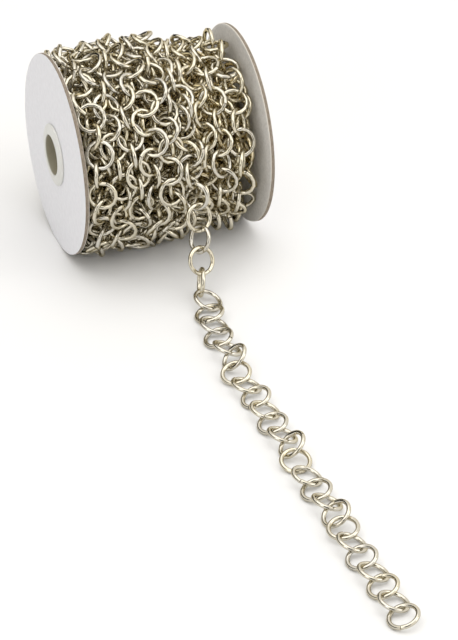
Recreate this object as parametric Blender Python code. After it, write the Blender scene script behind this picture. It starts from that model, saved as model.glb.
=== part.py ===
"""Card reel wound with round-link steel chain, its free end drawn out along the floor.

Units are metres and degrees, +Z is up. The reel stands on the rims of its two card
flanges with its axis along X, and the free end of the chain runs towards -Y.
"""

import math

import bmesh
import bpy
import numpy as np
from mathutils import Matrix, Vector

# Reel
FLANGE_RADIUS = 0.0375
CARD_THICKNESS = 0.0015
REEL_WIDTH = 0.0724            # over the outer faces of the two cards
BORE_RADIUS = 0.0075
BUSH_WALL = 0.001
BUSH_LENGTH = 0.014            # sleeve, measured inwards from the card's outer face
BUSH_RIM_RADIUS = 0.0116
BUSH_EDGE_THICKNESS = 0.0007
BUSH_MOUTH_THICKNESS = 0.0013
PRESSED_DEPTH = 0.0002         # of the card's outer face, where the bush's rim bears on it
TUBE_WALL = 0.0018

# Chain
LINK_DIAMETER = 0.0111         # over the wire
WIRE_DIAMETER = 0.0013
LINK_GAP = 0.0002              # wire to wire, where one tail link hooks the next

# Wound chain
TURN_COUNT = 8
TURN_SPACING = 0.00865
TURN_RADIUS = 0.0334           # from the reel's axis to the middle of a wound link
LAST_TURN_RADIUS = 0.0306      # the turn beside the right flange lies lower
TURN_PITCH = 0.0087
TURN_LEAN = 45.0               # each link leans this far to one side, the next to the other
PACK_RISE = 0.0008             # the wound chain sits this far above the reel's axis
HIDDEN_STRAND_WIDTH = 0.0036   # along the reel, on top, where the outer turns rest
HIDDEN_STRAND_SLOPE = 0.0004   # more than that on each side, at the foot
HIDDEN_STRAND_DEPTH = 0.008    # from the top down to the hollows between the strands
OPEN_TURN = 4                  # the turn that runs out into the tail
EXIT_ANGLE = 17.0              # of that turn's last link, above the front of the reel
LINKS_LEFT_OUT = 4             # below it, where the tail passes

# Tail: the route of the link centres from the last wound link to the floor, relative to
# the reel's middle on the floor
TAIL_ROUTE = (
    (0.0052, -0.0380, 0.0335),
    (0.0056, -0.0405, 0.0268),
    (0.0049, -0.0440, 0.0190),
    (0.0036, -0.0497, 0.0127),
    (0.0025, -0.0567, 0.0068),
    (0.0010, -0.0655, 0.0042),
    (-0.0020, -0.0860, 0.0),
    (-0.0034, -0.1130, 0.0),
    (-0.0026, -0.1450, 0.0),
    (-0.0024, -0.1800, 0.0),
    (-0.0014, -0.2200, 0.0),
    (0.0, -0.2700, 0.0),
)
# How a tail link leans: the lift of its side towards +X, and the dip of its leading end
TAIL_LEAN = {
    "flat": (16.0, 6.0),
    "open": (38.0, 0.0),
    "left": (46.0, 0.0),
    "steep": (54.0, 4.0),
    "upright": (82.0, 0.0),
    "hung": (-28.0, 0.0),
    "right": (-32.0, 0.0),
    "tucked": (-45.0, 0.0),
}
TAIL_LINKS = (
    "tucked steep hung steep right upright right left right open right steep flat "
    "right open right left right steep flat right left right steep flat "
    "right left right left right flat"
).split()
LIFTED_LINKS = 7               # these hang between the wound chain and the floor
LINE_HEIGHT = 0.0042           # of the middles of the links on the floor

# Shared
SEAT_GAP = 0.0003              # between pieces that rest on each other
SLIDE_STEP = 0.00003           # of a tail link as it is moved up to its neighbour
SMOOTH_EDGE = 40.0             # an edge that turns less than this is shaded smooth
ROUND_SEGMENTS = 48
BORE_SEGMENTS = 24
TAIL_SEGMENTS = 12
TAIL_SIDES = 5
WOUND_SEGMENTS = 6
WOUND_SIDES = 4

WIRE_RADIUS = WIRE_DIAMETER / 2
LINK_RADIUS = (LINK_DIAMETER - WIRE_DIAMETER) / 2
CARD_INNER_FACE = REEL_WIDTH / 2 - CARD_THICKNESS
SLEEVE_RADIUS = BORE_RADIUS + BUSH_WALL
TUBE_BORE_RADIUS = SLEEVE_RADIUS + SEAT_GAP
TUBE_RADIUS = TUBE_BORE_RADIUS + TUBE_WALL
REEL_Y = 0.11096               # puts the origin under the middle of reel and tail


def clear_scene():
    for thing in list(bpy.data.objects):
        bpy.data.objects.remove(thing, do_unlink=True)


def make_material(name, colour, roughness, metallic):
    material = bpy.data.materials.new(name)
    material.use_nodes = True
    shader = material.node_tree.nodes["Principled BSDF"]
    shader.inputs["Base Color"].default_value = (*colour, 1.0)
    shader.inputs["Roughness"].default_value = roughness
    shader.inputs["Metallic"].default_value = metallic
    return material


def add_piece(name, mesh, material, matrix=None):
    piece = bpy.data.objects.new(name, mesh)
    bpy.context.scene.collection.objects.link(piece)
    if not mesh.materials:
        mesh.materials.append(material)
    piece.matrix_world = Matrix.Translation((0, REEL_Y, 0)) @ (matrix or Matrix())
    return piece


def turned_mesh(name, profile, segments):
    """Closed ring about X, turned from a loop of (distance along X, radius) points."""
    shape = bmesh.new()
    loops = []
    for index in range(segments):
        angle = 2 * math.pi * index / segments
        loops.append([
            shape.verts.new((along, radius * math.cos(angle), radius * math.sin(angle)))
            for along, radius in profile
        ])
    close_loops(shape, loops)
    return finish_mesh(name, shape)


def close_loops(shape, loops):
    """Joins each loop to the next one, and the last to the first."""
    for index, loop in enumerate(loops):
        following = loops[(index + 1) % len(loops)]
        for step in range(len(loop)):
            after = (step + 1) % len(loop)
            shape.faces.new((loop[step], loop[after], following[after], following[step]))


def finish_mesh(name, shape):
    bmesh.ops.recalc_face_normals(shape, faces=shape.faces)
    mesh = bpy.data.meshes.new(name)
    shape.to_mesh(mesh)
    shape.free()
    mesh.shade_smooth()
    mesh.set_sharp_from_angle(angle=math.radians(SMOOTH_EDGE))
    return mesh


def add_link(shape, matrix, segments, sides):
    """Adds one closed wire ring, with a corner of the ring on its own X axis."""
    loops = []
    for index in range(segments):
        angle = 2 * math.pi * index / segments
        outward = Vector((math.cos(angle), math.sin(angle), 0))
        loop = []
        for side in range(sides):
            turn = 2 * math.pi * side / sides
            point = outward * (LINK_RADIUS + WIRE_RADIUS * math.cos(turn))
            point.z = WIRE_RADIUS * math.sin(turn)
            loop.append(shape.verts.new(matrix @ point))
        loops.append(loop)
    close_loops(shape, loops)


def link_matrix(centre, along, up, roll, dip=0.0):
    """Pose of a link whose plane holds the chain's direction.

    Roll lifts its side towards +X, and dip lowers the end that leads along the chain.
    """
    side = up.cross(along).normalized()
    lean = Matrix.Rotation(math.radians(roll), 3, along)
    nod = Matrix.Rotation(math.radians(dip), 3, side)
    forward = nod @ along
    across = nod @ lean @ side
    pose = Matrix((forward, across, forward.cross(across))).transposed().to_4x4()
    pose.translation = centre
    return pose


def make_flanges(card):
    """Card discs, with the outer face pressed in a little under the bush's rim."""
    for name, side in (("flange_left", -1), ("flange_right", 1)):
        inner = side * CARD_INNER_FACE
        outer = side * REEL_WIDTH / 2
        pressed = outer - side * PRESSED_DEPTH
        profile = (
            (inner, TUBE_BORE_RADIUS),
            (pressed, TUBE_BORE_RADIUS),
            (pressed, BUSH_RIM_RADIUS + SEAT_GAP),
            (outer, BUSH_RIM_RADIUS + SEAT_GAP),
            (outer, FLANGE_RADIUS),
            (inner, FLANGE_RADIUS),
        )
        mesh = turned_mesh(name, profile, ROUND_SEGMENTS)
        add_piece(name, mesh, card, Matrix.Translation((0, 0, FLANGE_RADIUS)))


def make_bushes(plastic):
    """Flanged sleeves that hold the cards on the tube, with a coned rim outside."""
    face = REEL_WIDTH / 2
    seat = face - PRESSED_DEPTH + SEAT_GAP
    for name, side in (("bush_left", -1), ("bush_right", 1)):
        profile = [
            (side * (face - BUSH_LENGTH), BORE_RADIUS),
            (side * (seat + BUSH_MOUTH_THICKNESS), BORE_RADIUS),
            (side * (seat + BUSH_MOUTH_THICKNESS), SLEEVE_RADIUS),
            (side * (seat + BUSH_EDGE_THICKNESS), BUSH_RIM_RADIUS),
            (side * seat, BUSH_RIM_RADIUS),
            (side * seat, SLEEVE_RADIUS),
            (side * (face - BUSH_LENGTH), SLEEVE_RADIUS),
        ]
        mesh = turned_mesh(name, profile, BORE_SEGMENTS)
        add_piece(name, mesh, plastic, Matrix.Translation((0, 0, FLANGE_RADIUS)))


def make_core_tube(board):
    end = CARD_INNER_FACE - SEAT_GAP
    profile = (
        (-end, TUBE_BORE_RADIUS),
        (end, TUBE_BORE_RADIUS),
        (end, TUBE_RADIUS),
        (-end, TUBE_RADIUS),
    )
    mesh = turned_mesh("core_tube", profile, BORE_SEGMENTS)
    add_piece("core_tube", mesh, board, Matrix.Translation((0, 0, FLANGE_RADIUS)))


def make_inner_turns(steel):
    """One body for the hidden turns, in strands under the seams between the outer turns."""
    end = CARD_INNER_FACE - SEAT_GAP
    widest = math.sin(2 * math.pi * round(WOUND_SEGMENTS / 4) / WOUND_SEGMENTS)
    reach = LINK_RADIUS * widest * math.sin(math.radians(TURN_LEAN)) + WIRE_RADIUS
    outer = TURN_RADIUS - PACK_RISE - reach - SEAT_GAP
    dropped = LAST_TURN_RADIUS - PACK_RISE - reach - SEAT_GAP
    hollow = outer - HIDDEN_STRAND_DEPTH
    step_at = (TURN_COUNT / 2 - 1) * TURN_SPACING - SEAT_GAP
    profile = [(-end, TUBE_RADIUS + SEAT_GAP), (end, TUBE_RADIUS + SEAT_GAP)]
    for seam in range(TURN_COUNT, -1, -1):
        middle = (seam - TURN_COUNT / 2) * TURN_SPACING
        right = min(middle + HIDDEN_STRAND_WIDTH / 2, end)
        left = max(middle - HIDDEN_STRAND_WIDTH / 2, -end)
        if right < end:
            profile.append((right + HIDDEN_STRAND_SLOPE, hollow))
        profile.append((right, dropped if right > step_at else outer))
        if left < step_at < right:
            profile += [(step_at, dropped), (step_at, outer)]
        profile.append((left, dropped if left > step_at else outer))
        if left > -end:
            profile.append((left - HIDDEN_STRAND_SLOPE, hollow))
    mesh = turned_mesh("inner_turns", profile, ROUND_SEGMENTS)
    add_piece("inner_turns", mesh, steel, Matrix.Translation((0, 0, FLANGE_RADIUS)))


def turn_radius(turn):
    return LAST_TURN_RADIUS if turn == TURN_COUNT - 1 else TURN_RADIUS


def turn_link_count(turn):
    """An even number, so that the leans alternate all the way round."""
    return 2 * round(math.pi * turn_radius(turn) / TURN_PITCH)


def wound_link_pose(turn, place):
    """Pose of one wound link, counted upwards and over from the exit angle."""
    angle = math.radians(EXIT_ANGLE + 360.0 * place / turn_link_count(turn))
    outward = Vector((0, -math.cos(angle), math.sin(angle)))
    along = Vector((0, -math.sin(angle), -math.cos(angle)))
    centre = outward * turn_radius(turn)
    centre.x = (turn - (TURN_COUNT - 1) / 2) * TURN_SPACING
    centre.z += FLANGE_RADIUS + PACK_RISE
    return link_matrix(centre, along, outward, -TURN_LEAN if place % 2 else TURN_LEAN)


def half_turn(turn, remainder):
    """Mesh of every other link of one turn, none of which touch each other."""
    shape = bmesh.new()
    kept = turn_link_count(turn) - (LINKS_LEFT_OUT if turn == OPEN_TURN else 0)
    for place in range(remainder, kept, 2):
        add_link(shape, wound_link_pose(turn, place), WOUND_SEGMENTS, WOUND_SIDES)
    return finish_mesh("half_turn", shape)


def make_turns(steel):
    """The outer layer: one solid for each turn, its links fused where they hook."""
    for turn in range(TURN_COUNT):
        piece = add_piece(f"wound_turn_{turn + 1}", half_turn(turn, 0), steel)
        other = add_piece(f"hooked_links_{turn + 1}", half_turn(turn, 1), steel)
        other.hide_render = True
        other.display_type = "WIRE"
        joined = piece.modifiers.new("hook", "BOOLEAN")
        joined.operation = "UNION"
        joined.solver = "EXACT"
        joined.object = other


def wire_points(pose, per_side=10):
    """Points along the middle of a tail link's wire, one row each."""
    angles = np.arange(TAIL_SEGMENTS) * 2 * math.pi / TAIL_SEGMENTS
    corners = np.stack([np.cos(angles), np.sin(angles), np.zeros(TAIL_SEGMENTS)], axis=1)
    share = np.arange(per_side)[:, None, None] / per_side
    flat = corners * (1 - share) + np.roll(corners, -1, axis=0) * share
    turned = flat.reshape(-1, 3) @ np.array(pose.to_3x3()).T
    return LINK_RADIUS * turned + np.array(pose.translation)


def wire_gap(pose_a, pose_b):
    apart = wire_points(pose_a)[:, None] - wire_points(pose_b)[None]
    return math.sqrt((apart ** 2).sum(axis=2).min()) - WIRE_DIAMETER


def hooks_clear(before, pose):
    """True where two links clear each other and each is still within the other's eye."""
    apart = (pose.translation - before.translation).length
    return wire_gap(before, pose) >= LINK_GAP and apart <= LINK_DIAMETER - 2 * WIRE_DIAMETER


def route_point(route, distance):
    """Point and direction at a distance along the tail's route."""
    for start, end in zip(route, route[1:]):
        length = (end - start).length
        if distance <= length:
            break
        distance -= length
    along = (end - start).normalized()
    return start + along * distance, along


def tail_pose(route, number, distance):
    """Pose of one tail link. On the floor, one that leans more stands a little higher."""
    roll, dip = TAIL_LEAN[TAIL_LINKS[number]]
    centre, along = route_point(route, distance)
    if number >= LIFTED_LINKS:
        along = Vector((along.x, along.y, 0)).normalized()
    pose = link_matrix(centre, along, Vector((0, 0, 1)), roll, dip)
    if number >= LIFTED_LINKS:
        lean = math.sqrt(1 - pose.col[2].z ** 2)
        pose.translation.z = max(LINE_HEIGHT, LINK_RADIUS * lean + WIRE_RADIUS)
    return pose


def tail_poses():
    """Slides each link along the route until it hangs on the one before."""
    poses = [wound_link_pose(OPEN_TURN, 0)]
    route = [poses[0].translation] + [Vector(point) for point in TAIL_ROUTE]
    distance = 0.0
    for number in range(len(TAIL_LINKS)):
        distance += LINK_DIAMETER - WIRE_DIAMETER
        pose = tail_pose(route, number, distance)
        while not hooks_clear(poses[-1], pose):
            distance -= SLIDE_STEP
            pose = tail_pose(route, number, distance)
        poses.append(pose)
    return poses[1:]


def make_tail(steel):
    """Separate links, all of one shape."""
    shape = bmesh.new()
    add_link(shape, Matrix(), TAIL_SEGMENTS, TAIL_SIDES)
    mesh = finish_mesh("link", shape)
    for number, pose in enumerate(tail_poses(), start=1):
        add_piece(f"tail_link_{number:02d}", mesh, steel, pose)


def build():
    clear_scene()
    card = make_material("white_card", (0.80, 0.80, 0.82), 0.75, 0.0)
    plastic = make_material("off_white_plastic", (0.72, 0.73, 0.70), 0.45, 0.0)
    board = make_material("brown_board", (0.30, 0.24, 0.17), 0.85, 0.0)
    steel = make_material("nickel_plated_steel", (0.66, 0.61, 0.53), 0.22, 1.0)
    make_flanges(card)
    make_bushes(plastic)
    make_core_tube(board)
    make_inner_turns(steel)
    make_turns(steel)
    make_tail(steel)


build()
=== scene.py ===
"""Looks of a card reel wound with round-link chain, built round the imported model.

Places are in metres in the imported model's frame, and in millimetres from the reel's axis while
the chain settles. That axis runs along X, +Z is up, and the chain's free end runs towards -Y.
"""

import math

import bmesh
import bpy
import numpy as np
from mathutils import Matrix, Vector


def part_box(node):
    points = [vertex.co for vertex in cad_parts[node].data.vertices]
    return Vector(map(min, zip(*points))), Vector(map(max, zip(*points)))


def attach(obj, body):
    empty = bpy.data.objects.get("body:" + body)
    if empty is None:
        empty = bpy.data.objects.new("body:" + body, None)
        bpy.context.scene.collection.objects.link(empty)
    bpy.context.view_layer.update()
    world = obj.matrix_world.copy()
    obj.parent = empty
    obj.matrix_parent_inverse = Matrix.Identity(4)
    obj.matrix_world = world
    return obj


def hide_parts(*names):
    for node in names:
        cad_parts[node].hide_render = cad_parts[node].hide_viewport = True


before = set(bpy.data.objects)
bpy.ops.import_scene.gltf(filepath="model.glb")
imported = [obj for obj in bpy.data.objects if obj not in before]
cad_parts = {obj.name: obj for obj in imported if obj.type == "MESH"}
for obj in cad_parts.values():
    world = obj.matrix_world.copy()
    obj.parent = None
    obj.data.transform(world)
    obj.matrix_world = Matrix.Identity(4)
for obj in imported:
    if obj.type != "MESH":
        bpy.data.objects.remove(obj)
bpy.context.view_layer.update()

reel_low, reel_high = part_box("flange_left")
REEL_Y = (reel_low.y + reel_high.y) / 2
AXIS_HEIGHT = (reel_low.z + reel_high.z) / 2

# The photograph looks down on the reel from the front and its left through a long lens, so
# that the near flange is a narrow ellipse and the tail runs off to the lower right.
EYE = Vector((-0.32643, REEL_Y - 0.98942, 0.64222))
EYE_HEADING = math.radians(19.93)
EYE_DROP = math.radians(33.34)
EYE_ROLL = math.radians(0.37)
LENS = 182.57                   # on a 36 mm frame, over the picture's long side

sight = Vector((math.sin(EYE_HEADING) * math.cos(EYE_DROP),
                math.cos(EYE_HEADING) * math.cos(EYE_DROP),
                -math.sin(EYE_DROP)))
level = sight.cross(Vector((0, 0, 1))).normalized()
upright = level.cross(sight)
right = level * math.cos(EYE_ROLL) + upright * math.sin(EYE_ROLL)
upward = upright * math.cos(EYE_ROLL) - level * math.sin(EYE_ROLL)
camera = bpy.data.objects.new("camera", bpy.data.cameras.new("camera"))
camera.data.lens = LENS
camera.data.sensor_width = 36
camera.data.clip_start = 0.05
camera.data.clip_end = 20
camera.matrix_world = Matrix((right, upward, -sight)).transposed().to_4x4()
camera.matrix_world.translation = EYE
bpy.context.scene.collection.objects.link(camera)
bpy.context.scene.camera = camera

# Core tube: a paper tube wound in a spiral from strips of brown kraft board and glued. Only
# the inside of its ends shows, through the bushes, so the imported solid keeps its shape.
STRIP_WIDTH = 0.022             # of one kraft strip, along the tube


def linear(hex_colour):
    """A hex colour as the shaders want it, in linear light."""
    shares = [int(hex_colour[place:place + 2], 16) / 255 for place in (1, 3, 5)]
    return tuple(s / 12.92 if s <= 0.04045 else ((s + 0.055) / 1.055) ** 2.4
                 for s in shares) + (1.0,)


def put(tree, kind, sockets=None, **settings):
    """Adds a node with its settings, and gives its sockets their values or links."""
    node = tree.nodes.new(kind)
    for name, value in settings.items():
        setattr(node, name, value)
    for key, value in (sockets or {}).items():
        if isinstance(value, bpy.types.NodeSocket):
            tree.links.new(value, node.inputs[key])
        else:
            node.inputs[key].default_value = value
    return node


def finish_named(name, metallic, roughness):
    """A new material with its tree and its shader."""
    material = bpy.data.materials.new(name)
    material.use_nodes = True
    shader = material.node_tree.nodes["Principled BSDF"]
    shader.inputs["Metallic"].default_value = metallic
    shader.inputs["Roughness"].default_value = roughness
    return material, material.node_tree, shader


def shade_ramp(tree, factor, stops):
    """Colours from hex stops at places along a factor."""
    ramp = put(tree, "ShaderNodeValToRGB", {"Fac": factor})
    while len(ramp.color_ramp.elements) < len(stops):
        ramp.color_ramp.elements.new(0.5)
    for element, (place, colour) in zip(ramp.color_ramp.elements, stops):
        element.position = place
        element.color = linear(colour)
    return ramp.outputs["Color"]


# Kraft board, uncoated: dull brown, flecked by its fibres, with a darker line where the edge of
# each strip meets the next.
kraft_board, tree, shader = finish_named("kraft_board", 0.0, 0.85)
place = put(tree, "ShaderNodeTexCoord").outputs["Object"]
fibres = put(tree, "ShaderNodeTexNoise", {"Vector": place, "Scale": 1 / 0.0008, "Detail": 4.0})
strips = put(tree, "ShaderNodeTexWave",
             {"Vector": place, "Scale": 1 / (STRIP_WIDTH * 20), "Distortion": 0.4},
             bands_direction="X")
board_colour = shade_ramp(tree, fibres.outputs["Fac"],
                          [(0.3, "#6E5A43"), (0.5, "#8A745A"), (0.75, "#A38D70")])
seams = shade_ramp(tree, strips.outputs["Fac"], [(0.0, "#4C3D2C"), (0.06, "#FFFFFF")])
tinted = put(tree, "ShaderNodeMix", {0: 0.6, 6: board_colour, 7: seams},
             data_type="RGBA", blend_type="MULTIPLY")
tree.links.new(tinted.outputs[2], shader.inputs["Base Color"])
grain = put(tree, "ShaderNodeBump", {"Height": fibres.outputs["Fac"], "Strength": 0.3,
                                     "Distance": 0.0001})
tree.links.new(grain.outputs["Normal"], shader.inputs["Normal"])
for material_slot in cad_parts["core_tube"].material_slots:
    material_slot.material = kraft_board

# Flanges: two discs die-cut from grey board that is lined white on the outer side. The cut
# rim is raw and a little crushed, and each disc has a slight set from being handled.
FLANGE_RADIUS = 0.0375
CARD_OUTER_FACE = 0.0362        # from the reel's middle
CARD_THICKNESS = 0.0015
CARD_HOLE = 0.0088
RIM_EASE = 0.00016              # how far the cutting die rounds each corner of the rim
CARD_SET = 0.0002               # most that a disc is out of flat, at its rim
CARD_STEPS = 192
SHARP_ANGLE = 35                # degrees between two faces, from which their edge shows sharp
WORN_RIM = (0.03765, 0.03785)   # radius at which the wear begins, and is full, with its scuffs
SCUFF_REACH = 0.0006            # how far those move it
LINED_EDGE = (0.03500, 0.03485)     # from the reel's middle, where the paper's edge begins
DISC_RINGS = (0.0088, 0.0119, 0.0121, 0.016, 0.020, 0.024, 0.028, 0.031, 0.034, 0.0362)


def turned(name, profile, steps, finishes):
    """Closed body turned about the reel's axis, from (place along X, radius, finish)."""
    corners = len(profile)
    rows = []
    faces = []
    kinds = []
    for step in range(steps):
        angle = 2 * math.pi * step / steps
        for x, radius, _ in profile:
            rows.append((x, REEL_Y + radius * math.cos(angle),
                         AXIS_HEIGHT + radius * math.sin(angle)))
        here = step * corners
        there = (step + 1) % steps * corners
        for corner in range(corners):
            after = (corner + 1) % corners
            faces.append((here + corner, here + after, there + after, there + corner))
            kinds.append(profile[corner][2])
    mesh = bpy.data.meshes.new(name)
    mesh.from_pydata(rows, [], faces)
    for finish in finishes:
        mesh.materials.append(finish)
    mesh.polygons.foreach_set("material_index", kinds)
    work = bmesh.new()
    work.from_mesh(mesh)
    bmesh.ops.recalc_face_normals(work, faces=work.faces)
    work.to_mesh(mesh)
    work.free()
    mesh.shade_smooth()
    mesh.set_sharp_from_angle(angle=math.radians(SHARP_ANGLE))
    body = bpy.data.objects.new(name, mesh)
    bpy.context.scene.collection.objects.link(body)
    return body


def from_axis(tree):
    """A place relative to the reel's axis, and its distance from that axis."""
    place = put(tree, "ShaderNodeTexCoord").outputs["Object"]
    centred = put(tree, "ShaderNodeMapping", {"Vector": place,
                                              "Location": (0, -REEL_Y, -AXIS_HEIGHT)})
    across = put(tree, "ShaderNodeVectorMath", {0: centred.outputs["Vector"], 1: (0, 1, 1)},
                 operation="MULTIPLY")
    radius = put(tree, "ShaderNodeVectorMath", {0: across.outputs["Vector"]},
                 operation="LENGTH")
    return centred.outputs["Vector"], radius.outputs["Value"]


# White lining: paper coated with clay and calendered, matt, with faint clouds of fibre about
# 2 mm across. Dirt and handling show as a thin worn line round the rim.
white_lining, tree, shader = finish_named("white_lined_board", 0.0, 0.62)
place, radius = from_axis(tree)
clouds = put(tree, "ShaderNodeTexNoise", {"Vector": place, "Scale": 1 / 0.002, "Detail": 3.0})
lining_colour = shade_ramp(tree, clouds.outputs["Fac"],
                           [(0.3, "#DEDEE2"), (0.7, "#E5E5E9")])
scuffs = put(tree, "ShaderNodeTexNoise", {"Vector": place, "Scale": 1 / 0.0012, "Detail": 5.0})
reach = put(tree, "ShaderNodeMath", {0: scuffs.outputs["Fac"], 1: SCUFF_REACH, 2: radius},
            operation="MULTIPLY_ADD")
worn = put(tree, "ShaderNodeMapRange", {"Value": reach.outputs["Value"],
                                        "From Min": WORN_RIM[0], "From Max": WORN_RIM[1]})
lining_worn = put(tree, "ShaderNodeMix", {0: worn.outputs["Result"], 6: lining_colour,
                                          7: linear("#A79C8C")}, data_type="RGBA")
tree.links.new(lining_worn.outputs[2], shader.inputs["Base Color"])
tooth = put(tree, "ShaderNodeTexNoise", {"Vector": place, "Scale": 1 / 0.0004, "Detail": 2.0})
calendered = put(tree, "ShaderNodeBump", {"Height": tooth.outputs["Fac"], "Strength": 0.12,
                                          "Distance": 0.00005})
tree.links.new(calendered.outputs["Normal"], shader.inputs["Normal"])

# Cut rim: the plies of grey board lie open, torn by the die into short fibres that run round
# the disc, with the paper of the inner side as a thin pale line along one edge.
cut_rim, tree, shader = finish_named("die_cut_board_rim", 0.0, 0.9)
place, _ = from_axis(tree)
plies = put(tree, "ShaderNodeMapping", {"Vector": place,
                                        "Scale": (1 / 0.0002, 1 / 0.0011, 1 / 0.0011)})
torn = put(tree, "ShaderNodeTexNoise", {"Vector": plies.outputs["Vector"], "Scale": 1.0,
                                        "Detail": 4.0, "Roughness": 0.6})
rim_colour = shade_ramp(tree, torn.outputs["Fac"],
                        [(0.25, "#4A4036"), (0.5, "#7A6E5F"), (0.75, "#A59A8A")])
across = put(tree, "ShaderNodeSeparateXYZ", {"Vector": place}).outputs["X"]
from_middle = put(tree, "ShaderNodeMath", {0: across}, operation="ABSOLUTE")
lining_edge = put(tree, "ShaderNodeMapRange", {"Value": from_middle.outputs["Value"],
                                               "From Min": LINED_EDGE[0],
                                               "From Max": LINED_EDGE[1]})
rim_lined = put(tree, "ShaderNodeMix", {0: lining_edge.outputs["Result"], 6: rim_colour,
                                        7: linear("#D8D2C8")}, data_type="RGBA")
tree.links.new(rim_lined.outputs[2], shader.inputs["Base Color"])
torn_relief = put(tree, "ShaderNodeBump", {"Height": torn.outputs["Fac"], "Strength": 0.7,
                                           "Distance": 0.0001})
tree.links.new(torn_relief.outputs["Normal"], shader.inputs["Normal"])

# Inner side: the last ply of the grey board, a thin pale paper made of pulped waste, with light
# and dark flecks up to 1 mm long.
grey_board, tree, shader = finish_named("grey_board", 0.0, 0.85)
place, _ = from_axis(tree)
flecks = put(tree, "ShaderNodeTexNoise", {"Vector": place, "Scale": 1 / 0.0009, "Detail": 5.0,
                                          "Roughness": 0.65})
fleck_colour = shade_ramp(tree, flecks.outputs["Fac"],
                          [(0.3, "#BDBAB4"), (0.5, "#CDCAC5"), (0.7, "#D8D5D0")])
tree.links.new(fleck_colour, shader.inputs["Base Color"])
pulp = put(tree, "ShaderNodeBump", {"Height": flecks.outputs["Fac"], "Strength": 0.25,
                                    "Distance": 0.0001})
tree.links.new(pulp.outputs["Normal"], shader.inputs["Normal"])

for side, name in ((-1, "left"), (1, "right")):
    inner = CARD_OUTER_FACE - CARD_THICKNESS
    profile = [(inner, ring, 2) for ring in DISC_RINGS]
    profile += [
        (inner, FLANGE_RADIUS - RIM_EASE * 1.5, 1),
        (inner + RIM_EASE * 0.5, FLANGE_RADIUS - RIM_EASE * 0.4, 1),
        (inner + RIM_EASE * 1.4, FLANGE_RADIUS, 1),
        ((inner + CARD_OUTER_FACE) / 2, FLANGE_RADIUS, 1),
        (CARD_OUTER_FACE - RIM_EASE * 1.2, FLANGE_RADIUS, 1),
        (CARD_OUTER_FACE - RIM_EASE * 0.4, FLANGE_RADIUS - RIM_EASE * 0.4, 0),
        (CARD_OUTER_FACE, FLANGE_RADIUS - RIM_EASE * 1.5, 0),
    ]
    profile += [(CARD_OUTER_FACE, ring, 0) for ring in reversed(DISC_RINGS[1:])]
    profile += [(CARD_OUTER_FACE, CARD_HOLE, 1)]
    profile = [(side * x, ring, kind) for x, ring, kind in profile]
    disc = turned(f"card_flange_{name}", profile, CARD_STEPS, [white_lining, cut_rim, grey_board])
    for vertex in disc.data.vertices:
        y = vertex.co.y - REEL_Y
        z = vertex.co.z - AXIS_HEIGHT
        angle = math.atan2(z, y)
        out = (math.hypot(y, z) / FLANGE_RADIUS) ** 2
        wave = 0.6 * math.sin(2 * angle + side) + 0.4 * math.sin(3 * angle + 2.1 * side)
        vertex.co.x += CARD_SET * out * wave
    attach(disc, "root")
    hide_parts(f"flange_{name}")

# Bushes: off-white sleeves moulded in polystyrene, pushed through each card into the tube. A
# thin rim with soft edges, dished a little towards the mouth of the bore, bears on the card.
BUSH_PROFILE = (                # place along X and radius, of the bush on the right
    (0.0222, 0.00750), (0.0366, 0.00750), (0.0372, 0.00754), (0.03750, 0.00766),
    (0.03760, 0.00788), (0.03760, 0.00830), (0.03752, 0.00880), (0.03715, 0.01080),
    (0.03705, 0.01125), (0.03692, 0.01150), (0.03672, 0.01160), (0.03645, 0.01160),
    (0.03632, 0.01150), (0.03630, 0.01120), (0.03630, 0.00850), (0.0222, 0.00850),
)
BUSH_STEPS = 96
BORE_SHADE_RADII = (0.00752, 0.00765)  # radius at which the bore's painted shade begins to fade, and has faded
MOULD_RINGS = 0.0003            # from one turning mark to the next

# Moulded polystyrene: even off-white with a satin skin, and faint rings from turning the
# mould, drawn 0.3 mm apart, coarser than the real ones so that they show. The wall of the
# bore is painted a darker brown-olive: painted shade for the inside of the bore.
moulded_plastic, tree, shader = finish_named("moulded_polystyrene", 0.0, 0.42)
place, radius = from_axis(tree)
shader.inputs["IOR"].default_value = 1.59
mottle = put(tree, "ShaderNodeTexNoise", {"Vector": place, "Scale": 1 / 0.003, "Detail": 2.0})
plastic_colour = shade_ramp(tree, mottle.outputs["Fac"],
                            [(0.3, "#D0D0CA"), (0.7, "#D7D7D2")])
# Painted shade: the bore's wall is mixed to a darker brown-olive, fading out over the mouth of
# the bore.
bore_shade = put(tree, "ShaderNodeMapRange", {"Value": radius, "From Min": BORE_SHADE_RADII[0],
                                        "From Max": BORE_SHADE_RADII[1], "To Min": 1.0,
                                        "To Max": 0.0})
bore_shaded_colour = put(tree, "ShaderNodeMix", {0: bore_shade.outputs["Result"], 6: plastic_colour,
                                           7: linear("#8D8771")}, data_type="RGBA")
tree.links.new(bore_shaded_colour.outputs[2], shader.inputs["Base Color"])
turning = put(tree, "ShaderNodeMath", {0: radius, 1: 2 * math.pi / MOULD_RINGS},
              operation="MULTIPLY")
ridges = put(tree, "ShaderNodeMath", {0: turning.outputs["Value"]}, operation="SINE")
turned_skin = put(tree, "ShaderNodeBump", {"Height": ridges.outputs["Value"],
                                           "Strength": 0.08, "Distance": 0.00002})
tree.links.new(turned_skin.outputs["Normal"], shader.inputs["Normal"])

for side, name in ((-1, "left"), (1, "right")):
    profile = [(side * x, ring, 0) for x, ring in BUSH_PROFILE]
    bush = turned(f"reel_bush_{name}", profile, BUSH_STEPS, [moulded_plastic])
    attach(bush, "root")
    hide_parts(f"bush_{name}")

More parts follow.
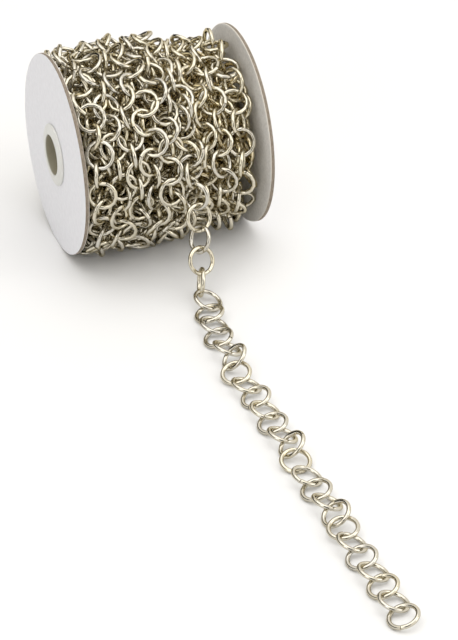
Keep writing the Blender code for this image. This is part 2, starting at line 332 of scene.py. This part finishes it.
# Wound chain: about 880 round links of nickel-plated steel wire, each bent round and closed
# at a butt joint through its neighbours. It is wound on in layers, and the links then roll
# and settle into each other between the two cards. They settle here in millimetres.
RING = 4.87                     # from a link's middle to the middle of its wire
WIRE = 1.5                      # thickness
FIVE_SIDED = 1.12               # how much thicker a five-sided wire is drawn, to look as thick
NEAR = 2 * RING + WIRE + 0.6    # middles of two links further apart than this can't touch
HOOKED_PITCH = 8.05             # from one link to the next, drawn fairly tight
LAYERS = (14.8, 20.9, 27.2, 33.8, 39.0)     # before the chain settles
CLIMB = 2                       # how fast a strand rises on to the next layer, for each radian
STRAND_SPACING = 6.4
EDGE_ROOM = 4.4                 # from a card to the middle of the strand beside it
LEAVING_LINKS = 11              # the last ones, which run out to where the tail leaves
TUBE = 10.6                     # radius of the core tube
CARD_FACE = 34.7                # of each card's inner side, from the reel's middle
LOOSE_REACH = 44.0              # of the layers before they settle, from the axis
SETTLED_REACH = (37.2, 39.2)    # of one link and another, for a ragged outside
SAG = 1.6                       # how much further the links hang out below
CROWN = 1.8                     # and how much further they are heaped up on top, to the back
CROWN_WAY = (0, 0.545, 0.839)
CROWN_STEEPNESS = 8
LEAN = 45                       # degrees that the links lean, to one side and the other by turns
LEAN_SPREAD = 10
TWIST_SPREAD = 38               # degrees that a strand twists as it is wound on
TWIST_LINKS = 21                # over which it turns from one twist to another
UNTWISTED_LINKS = 6             # the last ones, which turn back to how the tail hangs
OUTER_FROM = 30                 # radius from which the strands count as outer ones
OUTER_OVER = 3                  # and over which they come to do so
OUTER_TWIST = 45                # which brings every second of their links flat to the pack
OUTER_CALM = 0.4                # share by which their own twist is less
EXIT_ANGLE = 17.0               # of the last wound link, above the front of the reel
EXIT_RADIUS = 33.4
EXIT_X = 4.325
SETTLE_STEPS = 240
REST_STEPS = 50                 # the last of them, in which nothing draws or shakes the links
PRESS_HASTE = 1.25              # so that the layers are pressed in by four fifths of the steps
TABLE_FROM = 0.75               # share of the steps after which the table holds the links up
WOUND_HASTE = 1.4               # how far a link goes of what its contacts ask
DRAWN_IN = 0.012                # towards the axis at each step, by the pull of the winding
SUNK = 0.01                     # downwards at each step, by their weight
JOSTLE = 0.1                    # and at random, less and less
JOSTLE_TURN = 2                 # degrees
LONGEST_SHIFT = 0.35            # of one link in one step
LARGEST_TURN = 0.07             # radians
WIRE_SAMPLES = 20               # points round each ring at which it is kept clear
SEED = 12                       # of every random draw below

axis = np.array((0.0, REEL_Y, AXIS_HEIGHT))


def wound_path():
    """Angle, place along X and radius of each link, from the tube out to the tail."""
    furthest = CARD_FACE - EDGE_ROOM
    wound_on = 0.0
    x = -furthest
    way = 1
    layer = 0
    radius = LAYERS[0]
    path = []
    while layer < len(LAYERS) - 1 or way * (EXIT_X - x) > 0:
        path.append((wound_on, x, radius))
        step = HOOKED_PITCH / radius
        wound_on += step
        x += way * STRAND_SPACING * step / (2 * math.pi)
        radius += (LAYERS[layer] - radius) * min(1.0, step * CLIMB)
        if way * x > furthest:
            way = -way
            layer += 1
    path = np.array(path)
    leaving = np.arange(len(path)) - len(path) + LEAVING_LINKS
    ease = np.clip(leaving / (LEAVING_LINKS - 1), 0, 1) ** 2
    path[:, 2] += (EXIT_RADIUS - path[:, 2]) * ease
    path[:, 1] += (EXIT_X - path[:, 1]) * ease
    path[:, 0] = math.radians(EXIT_ANGLE) + path[-1, 0] - path[:, 0]
    return path


def loose_links(path, rng):
    """Middles and facings of the links before they settle, each across the one before."""
    count = len(path)
    angle, x, radius = path.T
    nothing = np.zeros(count)
    outward = np.stack([nothing, -np.cos(angle), np.sin(angle)], 1)
    along = np.stack([nothing, -np.sin(angle), -np.cos(angle)], 1)
    middles = outward * radius[:, None]
    middles[:, 0] = x
    twist = np.convolve(rng.normal(0, 1, count + TWIST_LINKS - 1), np.hanning(TWIST_LINKS),
                        "valid")
    twist *= TWIST_SPREAD / twist.std()
    outer = np.clip((radius - OUTER_FROM) / OUTER_OVER, 0, 1)
    twist = twist * (1 - OUTER_CALM * outer) + OUTER_TWIST * outer
    backwards = np.arange(count)[::-1]
    eased = np.clip(backwards / UNTWISTED_LINKS, 0, 1)
    lean = np.where(backwards % 2, -LEAN, LEAN) + (
        twist + rng.normal(0, LEAN_SPREAD, count)) * eased
    lean = np.radians(lean)[:, None]
    aside = np.cross(outward, along)
    across = aside * np.cos(lean) + np.cross(along, aside) * np.sin(lean)
    return middles, np.stack([along, across, np.cross(along, across)], 2)


def turned_by(spins):
    """Rotation matrices for small turns about an axis each."""
    angle = np.linalg.norm(spins, axis=1) + 1e-12
    x, y, z = (spins / angle[:, None]).T
    nothing = np.zeros(len(spins))
    cross = np.stack([nothing, -z, y, z, nothing, -x, -y, x, nothing], 1).reshape(-1, 3, 3)
    angle = angle[:, None, None]
    return np.eye(3) + np.sin(angle) * cross + (1 - np.cos(angle)) * cross @ cross


class Push:
    """Gathers the shifts and turns that free the links from what they press on.

    The depths are in millimetres and positive where a wire is too deep. A link is moved and
    turned as if it were struck at the point of contact, so that it also rolls.
    """

    slack = np.array((2, 2, 1)) / RING ** 2     # how easily a ring turns about its own axes
    crowding = 0.75                 # how strongly many contacts hold a link back

    def __init__(self, middles, facings):
        self.middles = middles
        self.facings = facings
        self.shifts = np.zeros((len(middles), 3))
        self.turns = np.zeros((len(middles), 3))
        self.contacts = np.zeros(len(middles))

    def lever(self, link, point, way):
        """How far a push at a point turns a link about its own axes, and how much it yields."""
        facing = self.facings[link]
        own = np.einsum("nji,nj->ni", facing, np.cross(point - self.middles[link], way))
        return own * self.slack, 1 + (own * own * self.slack).sum(1)

    def move(self, link, way, turn, amount):
        """Adds pushes of given amounts to the shifts and turns of their links."""
        count = len(self.middles)
        turn = np.einsum("nij,nj->ni", self.facings[link], turn) * amount[:, None]
        shift = way * amount[:, None]
        for column in range(3):
            self.shifts[:, column] += np.bincount(link, shift[:, column], count)
            self.turns[:, column] += np.bincount(link, turn[:, column], count)
        self.contacts += np.bincount(link, minlength=count)

    def off_wall(self, points, depths, ways):
        """Pushes the wires out of a wall, along ways that point away from it."""
        link, sample = np.nonzero(depths > 0)
        way = np.broadcast_to(ways, points.shape)[link, sample]
        turn, weight = self.lever(link, points[link, sample], way)
        self.move(link, way, turn, depths[link, sample] / weight)

    def off_links(self, points, free):
        """Pushes the wires of near links off each other; a fixed link yields nothing."""
        apart = ((self.middles[:, None] - self.middles) ** 2).sum(2)
        link, other = np.nonzero((apart < NEAR ** 2) & (apart > 0))
        point = points[link]
        own = np.einsum("nsi,nij->nsj", point - self.middles[other][:, None],
                        self.facings[other])
        radius = np.hypot(own[..., 0], own[..., 1]) + 1e-9
        gap = np.hypot(radius - RING, own[..., 2])
        pair, sample = np.nonzero(gap < WIRE)
        own, radius, gap = own[pair, sample], radius[pair, sample], gap[pair, sample] + 1e-9
        link, other, point = link[pair], other[pair], point[pair, sample]
        nearest = own * np.array((1, 1, 0)) * (RING / radius)[:, None]
        way = np.einsum("nij,nj->ni", self.facings[other], (own - nearest) / gap[:, None])
        touched = np.einsum("nij,nj->ni", self.facings[other], nearest)
        turn, weight = self.lever(link, point, way)
        back, back_weight = self.lever(other, touched + self.middles[other], way)
        share = free[link] * weight + free[other] * back_weight + 1e-9
        self.move(link, way, turn, (WIRE - gap) / share)
        self.move(other, -way, -back, (WIRE - gap) / share)

    def eased(self, free, haste):
        """The gathered shifts and turns, less for a link that many others press on."""
        held = np.maximum(self.contacts, haste) ** self.crowding
        calm = (haste / held * free)[:, None]
        return self.shifts * calm, self.turns * calm

    def moved(self, shifts, turns):
        """The links' new middles and facings, none moved further than the longest shift."""
        length = np.linalg.norm(shifts, axis=1) + 1e-9
        angle = np.linalg.norm(turns, axis=1) + 1e-9
        shifts *= np.minimum(1, LONGEST_SHIFT / length)[:, None]
        turns *= np.minimum(1, LARGEST_TURN / angle)[:, None]
        return self.middles + shifts, turned_by(turns) @ self.facings


def wires(middles, facings, samples=WIRE_SAMPLES):
    """Points along the wire of every link."""
    around = np.arange(samples) * 2 * math.pi / samples
    hoop = RING * np.stack([np.cos(around), np.sin(around), 0 * around], 1)
    return np.einsum("sj,nij->nsi", hoop, facings) + middles[:, None]


def settle(middles, facings, free, rng):
    """Presses the loose layers in to the settled reach, while the wires push each other off."""
    half = WIRE / 2
    reach = rng.uniform(*SETTLED_REACH, len(middles))[:, None]
    for step in range(SETTLE_STEPS):
        done = step / SETTLE_STEPS
        points = wires(middles, facings)
        push = Push(middles, facings)
        push.off_links(points, free)
        y, z = points[..., 1], points[..., 2]
        from_middle = np.hypot(y, z)
        outward = np.stack([0 * y, y, z], 2) / from_middle[..., None]
        limit = LOOSE_REACH + (reach - LOOSE_REACH) * min(1.0, done * PRESS_HASTE)
        limit = limit + SAG * np.clip(-z / from_middle, 0, 1)
        heaped = np.clip(points @ CROWN_WAY / from_middle, 0, 1) ** CROWN_STEEPNESS
        limit += CROWN * heaped
        push.off_wall(points, points[..., 0] - CARD_FACE + half, (-1.0, 0, 0))
        push.off_wall(points, -points[..., 0] - CARD_FACE + half, (1.0, 0, 0))
        push.off_wall(points, TUBE + half - from_middle, outward)
        push.off_wall(points, from_middle - limit + half, -outward)
        if done > TABLE_FROM:
            push.off_wall(points, half - 1000 * AXIS_HEIGHT - z, (0, 0, 1.0))
        shifts, turns = push.eased(free, WOUND_HASTE)
        if step < SETTLE_STEPS - REST_STEPS:
            inwards = -middles * np.array((0, 1, 1))
            inwards /= np.linalg.norm(inwards, axis=1)[:, None]
            jostle = (1 - done) * free[:, None]
            shifts += DRAWN_IN * inwards * free[:, None]
            shifts[:, 2] -= SUNK * done * free
            shifts += rng.normal(0, JOSTLE, shifts.shape) * jostle
            turns += rng.normal(0, math.radians(JOSTLE_TURN), turns.shape) * jostle
        middles, facings = push.moved(shifts, turns)
    left, _, right = np.linalg.svd(facings)
    return middles, left @ right


def packed_link(node):
    """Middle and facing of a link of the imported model, in millimetres from the axis."""
    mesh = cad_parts[node].data
    rows = np.empty(len(mesh.vertices) * 3)
    mesh.vertices.foreach_get("co", rows)
    rows = (rows.reshape(-1, 3) - axis) * 1000
    middle = rows.mean(0)
    normal = np.linalg.svd(rows - middle, full_matrices=False)[2][2]
    normal *= 1 if normal[2] > 0 else -1
    along = np.cross((1.0, 0, 0), normal)
    along /= np.linalg.norm(along)
    return middle, np.stack([along, np.cross(normal, along), normal], 1)


# Nickel plate over drawn steel wire: bright and slightly warm, hardly rougher than a mirror,
# with drawing marks and dull patches a few millimetres long. Links differ a little in tone, and
# the deep ones are painted brighter and yellower: painted light that lifts the shade between
# them.
bright_nickel, tree, shader = finish_named("bright_nickel_plate", 1.0, 0.2)
place = put(tree, "ShaderNodeTexCoord").outputs["Object"]
tone_and_painted_light = put(tree, "ShaderNodeAttribute", attribute_name="tone_and_painted_light").outputs["Fac"]
film = put(tree, "ShaderNodeTexNoise", {"Vector": place, "Scale": 1 / 0.003, "Detail": 3.0})
mixed = put(tree, "ShaderNodeMath", {0: film.outputs["Fac"], 1: 0.5, 2: tone_and_painted_light},
            operation="MULTIPLY_ADD")
# Painted light: low values, as on the deep links, give brighter and yellower colours.
nickel_colour_and_painted_light = shade_ramp(tree, mixed.outputs["Value"],
                           [(0.1, "#F2E0B4"), (0.5, "#CFC6AC"), (1.0, "#C1BDB3")])
tree.links.new(nickel_colour_and_painted_light, shader.inputs["Base Color"])
shader.inputs["Specular Tint"].default_value = linear("#C8BC9C")
dullness = put(tree, "ShaderNodeMapRange", {"Value": film.outputs["Fac"], "From Min": 0.3,
                                            "From Max": 0.7, "To Min": 0.07, "To Max": 0.16})
tree.links.new(dullness.outputs["Result"], shader.inputs["Roughness"])
marks = put(tree, "ShaderNodeTexNoise", {"Vector": place, "Scale": 1 / 0.0005, "Detail": 3.0})
drawn = put(tree, "ShaderNodeBump", {"Height": marks.outputs["Fac"], "Strength": 0.15,
                                     "Distance": 0.00004})
tree.links.new(drawn.outputs["Normal"], shader.inputs["Normal"])


def link_tree():
    """Node tree that sets one bent wire ring on each point and turns it to its facing."""
    tree = bpy.data.node_groups.new("bent_wire_links", "GeometryNodeTree")
    sockets = {}
    tree.interface.new_socket("Places", in_out="INPUT", socket_type="NodeSocketGeometry")
    for label, kind, value in (
            ("Ring Radius", "NodeSocketFloat", RING / 1000),
            ("Wire Radius", "NodeSocketFloat", WIRE / 2000 * FIVE_SIDED),
            ("Joint Gap", "NodeSocketFloat", 0.00014),
            ("Joint Step", "NodeSocketFloat", 0.00018),
            ("Points Round Ring", "NodeSocketInt", 15),
            ("Sides Round Wire", "NodeSocketInt", 5),
            ("Finish", "NodeSocketMaterial", None)):
        socket = tree.interface.new_socket(label, in_out="INPUT", socket_type=kind)
        if value is not None:
            socket.default_value = value
        sockets[label] = socket.identifier
    tree.interface.new_socket("Links", in_out="OUTPUT", socket_type="NodeSocketGeometry")
    given = put(tree, "NodeGroupInput").outputs
    round_length = put(tree, "ShaderNodeMath", {0: given["Ring Radius"], 1: 2 * math.pi},
                       operation="MULTIPLY")
    missing = put(tree, "ShaderNodeMath", {0: given["Joint Gap"],
                                           1: round_length.outputs["Value"]},
                  operation="DIVIDE")
    rounds = put(tree, "ShaderNodeMath", {0: 1.0, 1: missing.outputs["Value"]},
                 operation="SUBTRACT")
    bent = put(tree, "GeometryNodeCurveSpiral", {
        "Resolution": given["Points Round Ring"], "Rotations": rounds.outputs["Value"],
        "Start Radius": given["Ring Radius"], "End Radius": given["Ring Radius"],
        "Height": given["Joint Step"]})
    section = put(tree, "GeometryNodeCurvePrimitiveCircle", {
        "Resolution": given["Sides Round Wire"], "Radius": given["Wire Radius"]},
        mode="RADIUS")
    ring = put(tree, "GeometryNodeCurveToMesh", {
        "Curve": bent.outputs["Curve"], "Profile Curve": section.outputs["Curve"],
        "Fill Caps": True})
    smooth = put(tree, "GeometryNodeSetShadeSmooth", {"Geometry": ring.outputs["Mesh"]})
    facing = put(tree, "GeometryNodeInputNamedAttribute", {"Name": "facing"},
                 data_type="QUATERNION")
    turned_out = [s for s in facing.outputs if s.enabled and s.name == "Attribute"][0]
    set_out = put(tree, "GeometryNodeInstanceOnPoints", {
        "Points": given["Places"], "Instance": smooth.outputs["Geometry"],
        "Rotation": turned_out})
    real = put(tree, "GeometryNodeRealizeInstances", {"Geometry": set_out.outputs["Instances"]})
    plated = put(tree, "GeometryNodeSetMaterial", {"Geometry": real.outputs["Geometry"],
                                                   "Material": given["Finish"]})
    put(tree, "NodeGroupOutput", {"Links": plated.outputs["Geometry"]})
    return tree, sockets


link_maker, link_inputs = link_tree()


def make_links(name, middles, facings, joints, tones_and_painted_light, sizes, nodes):
    """One piece of real links on the given places, standing for the named CAD nodes."""
    places = bpy.data.meshes.new(name)
    places.from_pydata([tuple(row) for row in middles / 1000 + axis], [], [])
    turns = []
    for facing, joint in zip(facings, joints):
        turn = Matrix(facing.tolist()) @ Matrix.Rotation(joint, 3, "Z")
        turns.extend(turn.to_quaternion())
    places.attributes.new("facing", "QUATERNION", "POINT").data.foreach_set("value", turns)
    places.attributes.new("tone_and_painted_light", "FLOAT", "POINT").data.foreach_set("value", tones_and_painted_light)
    piece = bpy.data.objects.new(name, places)
    bpy.context.scene.collection.objects.link(piece)
    maker = piece.modifiers.new("links", "NODES")
    maker.node_group = link_maker
    maker[link_inputs["Finish"]] = bright_nickel
    for label, value in sizes.items():
        maker[link_inputs[label]] = value
    bpy.context.view_layer.update()
    graph = bpy.context.evaluated_depsgraph_get()
    mesh = bpy.data.meshes.new_from_object(piece.evaluated_get(graph), depsgraph=graph)
    piece.modifiers.remove(maker)
    piece.data = mesh
    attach(piece, "root")
    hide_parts(*nodes)


HANGING = 7                     # links of the tail that hang against the wound ones
DEEP = 27                       # radius within which the links belong to the hidden layers
PAINTED_LIGHT_FROM = 24                 # radius from which the painted light of the deep links, brighter and yellower, fades outwards
PAINTED_LIGHT_OVER = 10
PAINTED_LIGHT_TONE_RISE = 0.4
TONE_SPREAD = 0.3               # from one link to another

rng = np.random.default_rng(SEED)
path = wound_path()
middles, facings = loose_links(path, rng)
tail_nodes = [name for name in sorted(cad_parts) if name.startswith("tail_link_")]
tail_middles, tail_facings = zip(*(packed_link(name) for name in tail_nodes))
tail_middles, tail_facings = np.array(tail_middles), np.array(tail_facings)
free = np.ones(len(middles) + HANGING)
free[len(middles) - 1:] = 0     # the last wound link and those of the tail hold still
all_middles = np.concatenate([middles, tail_middles[:HANGING]])
all_facings = np.concatenate([facings, tail_facings[:HANGING]])
settled, settled_facings = settle(all_middles, all_facings, free, rng)
settled, settled_facings = settled[:len(middles)], settled_facings[:len(middles)]
joints = rng.uniform(0, 2 * math.pi, len(settled))
depth = np.hypot(settled[:, 1], settled[:, 2])
# Painted light: deep links get low tones, which the ramp makes brighter and yellower to lift the
# shade between them; the rest of each tone is a random spread.
tones_and_painted_light = np.clip((depth - PAINTED_LIGHT_FROM) / PAINTED_LIGHT_OVER, 0, 1) * PAINTED_LIGHT_TONE_RISE + rng.uniform(
    0, TONE_SPREAD, len(settled))
deep = depth < DEEP
wound_nodes = [name for name in sorted(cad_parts) if name.startswith("wound_turn_")]
for name, chosen, nodes in (("chain_inner_layers", deep, ["inner_turns"]),
                            ("chain_outer_layers", ~deep, wound_nodes)):
    make_links(name, settled[chosen], settled_facings[chosen], joints[chosen],
               tones_and_painted_light[chosen], {}, nodes)

# Tail: the free end of the same chain, drawn off the front of the reel. Its first links hang
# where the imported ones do. The others lie as the photograph shows them, hooked through each
# other, each leaning on the wires of its neighbours and on the table.
HUNG = 4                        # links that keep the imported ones' places
LIE_STEPS = 400
LOWER_STEPS = 120               # the first of them, in which the links sink to the table
LOWERED = 0.004                 # at each of those
TAIL_HASTE = 1.0
TAIL_SAMPLES = 32
TEN_SIDED = 1.04                # how much thicker a ten-sided wire is drawn
TAIL_LIE = (                    # middle in mm, rise of the +X side and dip of the front, degrees
    (3.4, -49.4, 13.4, -32, 64), (1.7, -55.1, 7.6, 78, -49), (2.1, -60.6, 2.6, -23, 9),
    (0.0, -68.3, 2.2, 18, -2), (-1.1, -76.3, 2.2, -18, 2), (-2.3, -84.5, 2.3, 20, -2),
    (-1.8, -92.2, 2.5, -22, -2), (-2.2, -101.0, 4.3, 48, 0), (-4.0, -107.6, 2.2, 11, 14),
    (-3.3, -116.2, 2.3, -20, 1), (-2.5, -124.0, 2.6, 23, 1), (-2.4, -132.7, 2.4, -21, 5),
    (-2.4, -140.6, 2.2, 17, -2), (-2.0, -148.5, 2.6, -23, -2), (-1.5, -157.0, 4.2, 47, -2),
    (-2.6, -163.5, 2.2, 10, 13), (-2.5, -172.6, 2.3, -20, 2), (-2.1, -180.9, 2.4, 21, 0),
    (-1.3, -188.8, 2.5, -22, -2), (-1.7, -197.8, 3.7, 38, 3), (-1.4, -204.4, 2.2, 6, 6),
    (-2.0, -212.1, 2.5, -22, 2), (-1.6, -220.6, 2.3, 20, 3), (-0.8, -228.9, 2.2, -16, 1),
    (-0.7, -237.2, 2.3, 20, -2), (-0.4, -245.4, 2.3, -19, 4), (-0.3, -254.0, 2.5, 22, -1))
SEEN_JOINTS = {                 # link, counted from 0, and where its joint shows, in radians
    3: 4.28, 4: 0.56, 8: 2.48, 12: 2.25, 30: 5.69}


def lain_facing(heading, rise, dip):
    """Facing of a link that leads along a heading, with one side up and its front down."""
    heading = heading * (1, 1, 0) / np.hypot(*heading[:2])
    aside = np.cross((0, 0, 1.0), heading)
    rise = math.radians(rise)
    across = aside * math.cos(rise) + np.array((0, 0, 1.0)) * math.sin(rise)
    nod = turned_by(aside[None] * math.radians(dip))[0]
    along, across = nod @ heading, nod @ across
    return np.stack([along, across, np.cross(along, across)], 1)


lie = np.array(TAIL_LIE)
middles = np.concatenate([tail_middles[:HUNG], lie[:, :3] - (0, 0, 1000 * AXIS_HEIGHT)])
headings = np.gradient(middles, axis=0)
facings = np.concatenate([tail_facings[:HUNG], [
    lain_facing(heading, *leans) for heading, leans in zip(headings[HUNG:], lie[:, 3:])]])
free = np.ones(len(middles))
free[:HUNG] = 0
for step in range(LIE_STEPS):
    points = wires(middles, facings, TAIL_SAMPLES)
    push = Push(middles, facings)
    push.off_links(points, free)
    push.off_wall(points, WIRE / 2 - 1000 * AXIS_HEIGHT - points[..., 2], (0, 0, 1.0))
    shifts, turns = push.eased(free, TAIL_HASTE)
    if step < LOWER_STEPS:
        shifts[:, 2] -= LOWERED * free
    middles, facings = push.moved(shifts, turns)
joints = rng.uniform(0, 2 * math.pi, len(tail_nodes))
for link, joint in SEEN_JOINTS.items():
    joints[link] = joint
tones_and_painted_light = rng.uniform(0.4, 0.7, len(tail_nodes))
make_links("chain_tail", middles, facings, joints, tones_and_painted_light,
           {"Points Round Ring": 41, "Sides Round Wire": 10,
            "Wire Radius": WIRE / 2000 * TEN_SIDED, "Joint Gap": 0.00022}, tail_nodes)

# Floor and light: a plain white table in a pale studio, lit by broad soft boxes. A dark wall
# behind on the left, and the dark surroundings of the camera, show in the wires as dark lines.
STUDIO_LIGHT = 1.28
UNLIT = 0.02
DARK_WALL = (-0.70, 0.68, 0.1)
DARK_WALL_WIDTH = (0.40, 0.60)  # nearness to its heading at which it begins, and is full
DARK_WALL_TOP = (0.45, 0.60)    # rise of a heading at which it fades, and has ended
CAMERA_SIDE = (-0.29, -0.82, 0.47)
CAMERA_SIDE_WIDTH = (0.880, 0.925)
TONE_CURVE = 1.12               # opens the gaps between the links

floor_mesh = bpy.data.meshes.new("studio_table")
floor_mesh.from_pydata([(-3, -3, 0), (3, -3, 0), (3, 3, 0), (-3, 3, 0)], [], [(0, 1, 2, 3)])
studio_table = bpy.data.objects.new("studio_table", floor_mesh)
bpy.context.scene.collection.objects.link(studio_table)
matt_white, tree, shader = finish_named("matt_white_table", 0.0, 0.8)
place = put(tree, "ShaderNodeTexCoord").outputs["Object"]
haze = put(tree, "ShaderNodeTexNoise", {"Vector": place, "Scale": 4.0, "Detail": 1.0})
table_colour = shade_ramp(tree, haze.outputs["Fac"], [(0.0, "#E2E2E2"), (1.0, "#E7E7E7")])
tree.links.new(table_colour, shader.inputs["Base Color"])
floor_mesh.materials.append(matt_white)

for name, spot, aim, size, power in (
        ("soft_box_top", (-0.1, -0.05, 1.35), (0, 0, 0), 1.5, 8),
        ("soft_box_left", (-1.0, -0.9, 0.8), (0, 0.05, 0.03), 0.7, 3),
        ("soft_box_right", (1.1, -0.7, 0.8), (0, 0, 0.02), 0.7, 3)):
    lamp = bpy.data.lights.new(name, "AREA")
    lamp.shape = "SQUARE"
    lamp.size = size
    lamp.energy = power
    holder = bpy.data.objects.new(name, lamp)
    holder.location = spot
    holder.rotation_euler = (Vector(aim) - Vector(spot)).to_track_quat("-Z", "Y").to_euler()
    bpy.context.scene.collection.objects.link(holder)
studio_air = bpy.data.worlds.new("studio_air")
studio_air.use_nodes = True
tree = studio_air.node_tree
heading = put(tree, "ShaderNodeTexCoord").outputs["Generated"]


def dimmed(light, toward, width):
    """The light of the studio with an unlit patch around one heading."""
    nearness = put(tree, "ShaderNodeVectorMath", {0: heading, 1: Vector(toward).normalized()},
                   operation="DOT_PRODUCT")
    return put(tree, "ShaderNodeMapRange", {
        "Value": nearness.outputs["Value"], "From Min": width[0], "From Max": width[1],
        "To Min": light, "To Max": UNLIT}).outputs["Result"]


light = dimmed(STUDIO_LIGHT, DARK_WALL, DARK_WALL_WIDTH)
height = put(tree, "ShaderNodeSeparateXYZ", {"Vector": heading}).outputs["Z"]
light = put(tree, "ShaderNodeMapRange", {
    "Value": height, "From Min": DARK_WALL_TOP[0], "From Max": DARK_WALL_TOP[1],
    "To Min": light, "To Max": STUDIO_LIGHT}).outputs["Result"]
light = dimmed(light, CAMERA_SIDE, CAMERA_SIDE_WIDTH)
tree.links.new(light, tree.nodes["Background"].inputs["Strength"])
tree.nodes["Background"].inputs["Color"].default_value = linear("#F6F3EE")
bpy.context.scene.world = studio_air
bpy.context.scene.view_settings.view_transform = "Standard"
bpy.context.scene.view_settings.gamma = TONE_CURVE
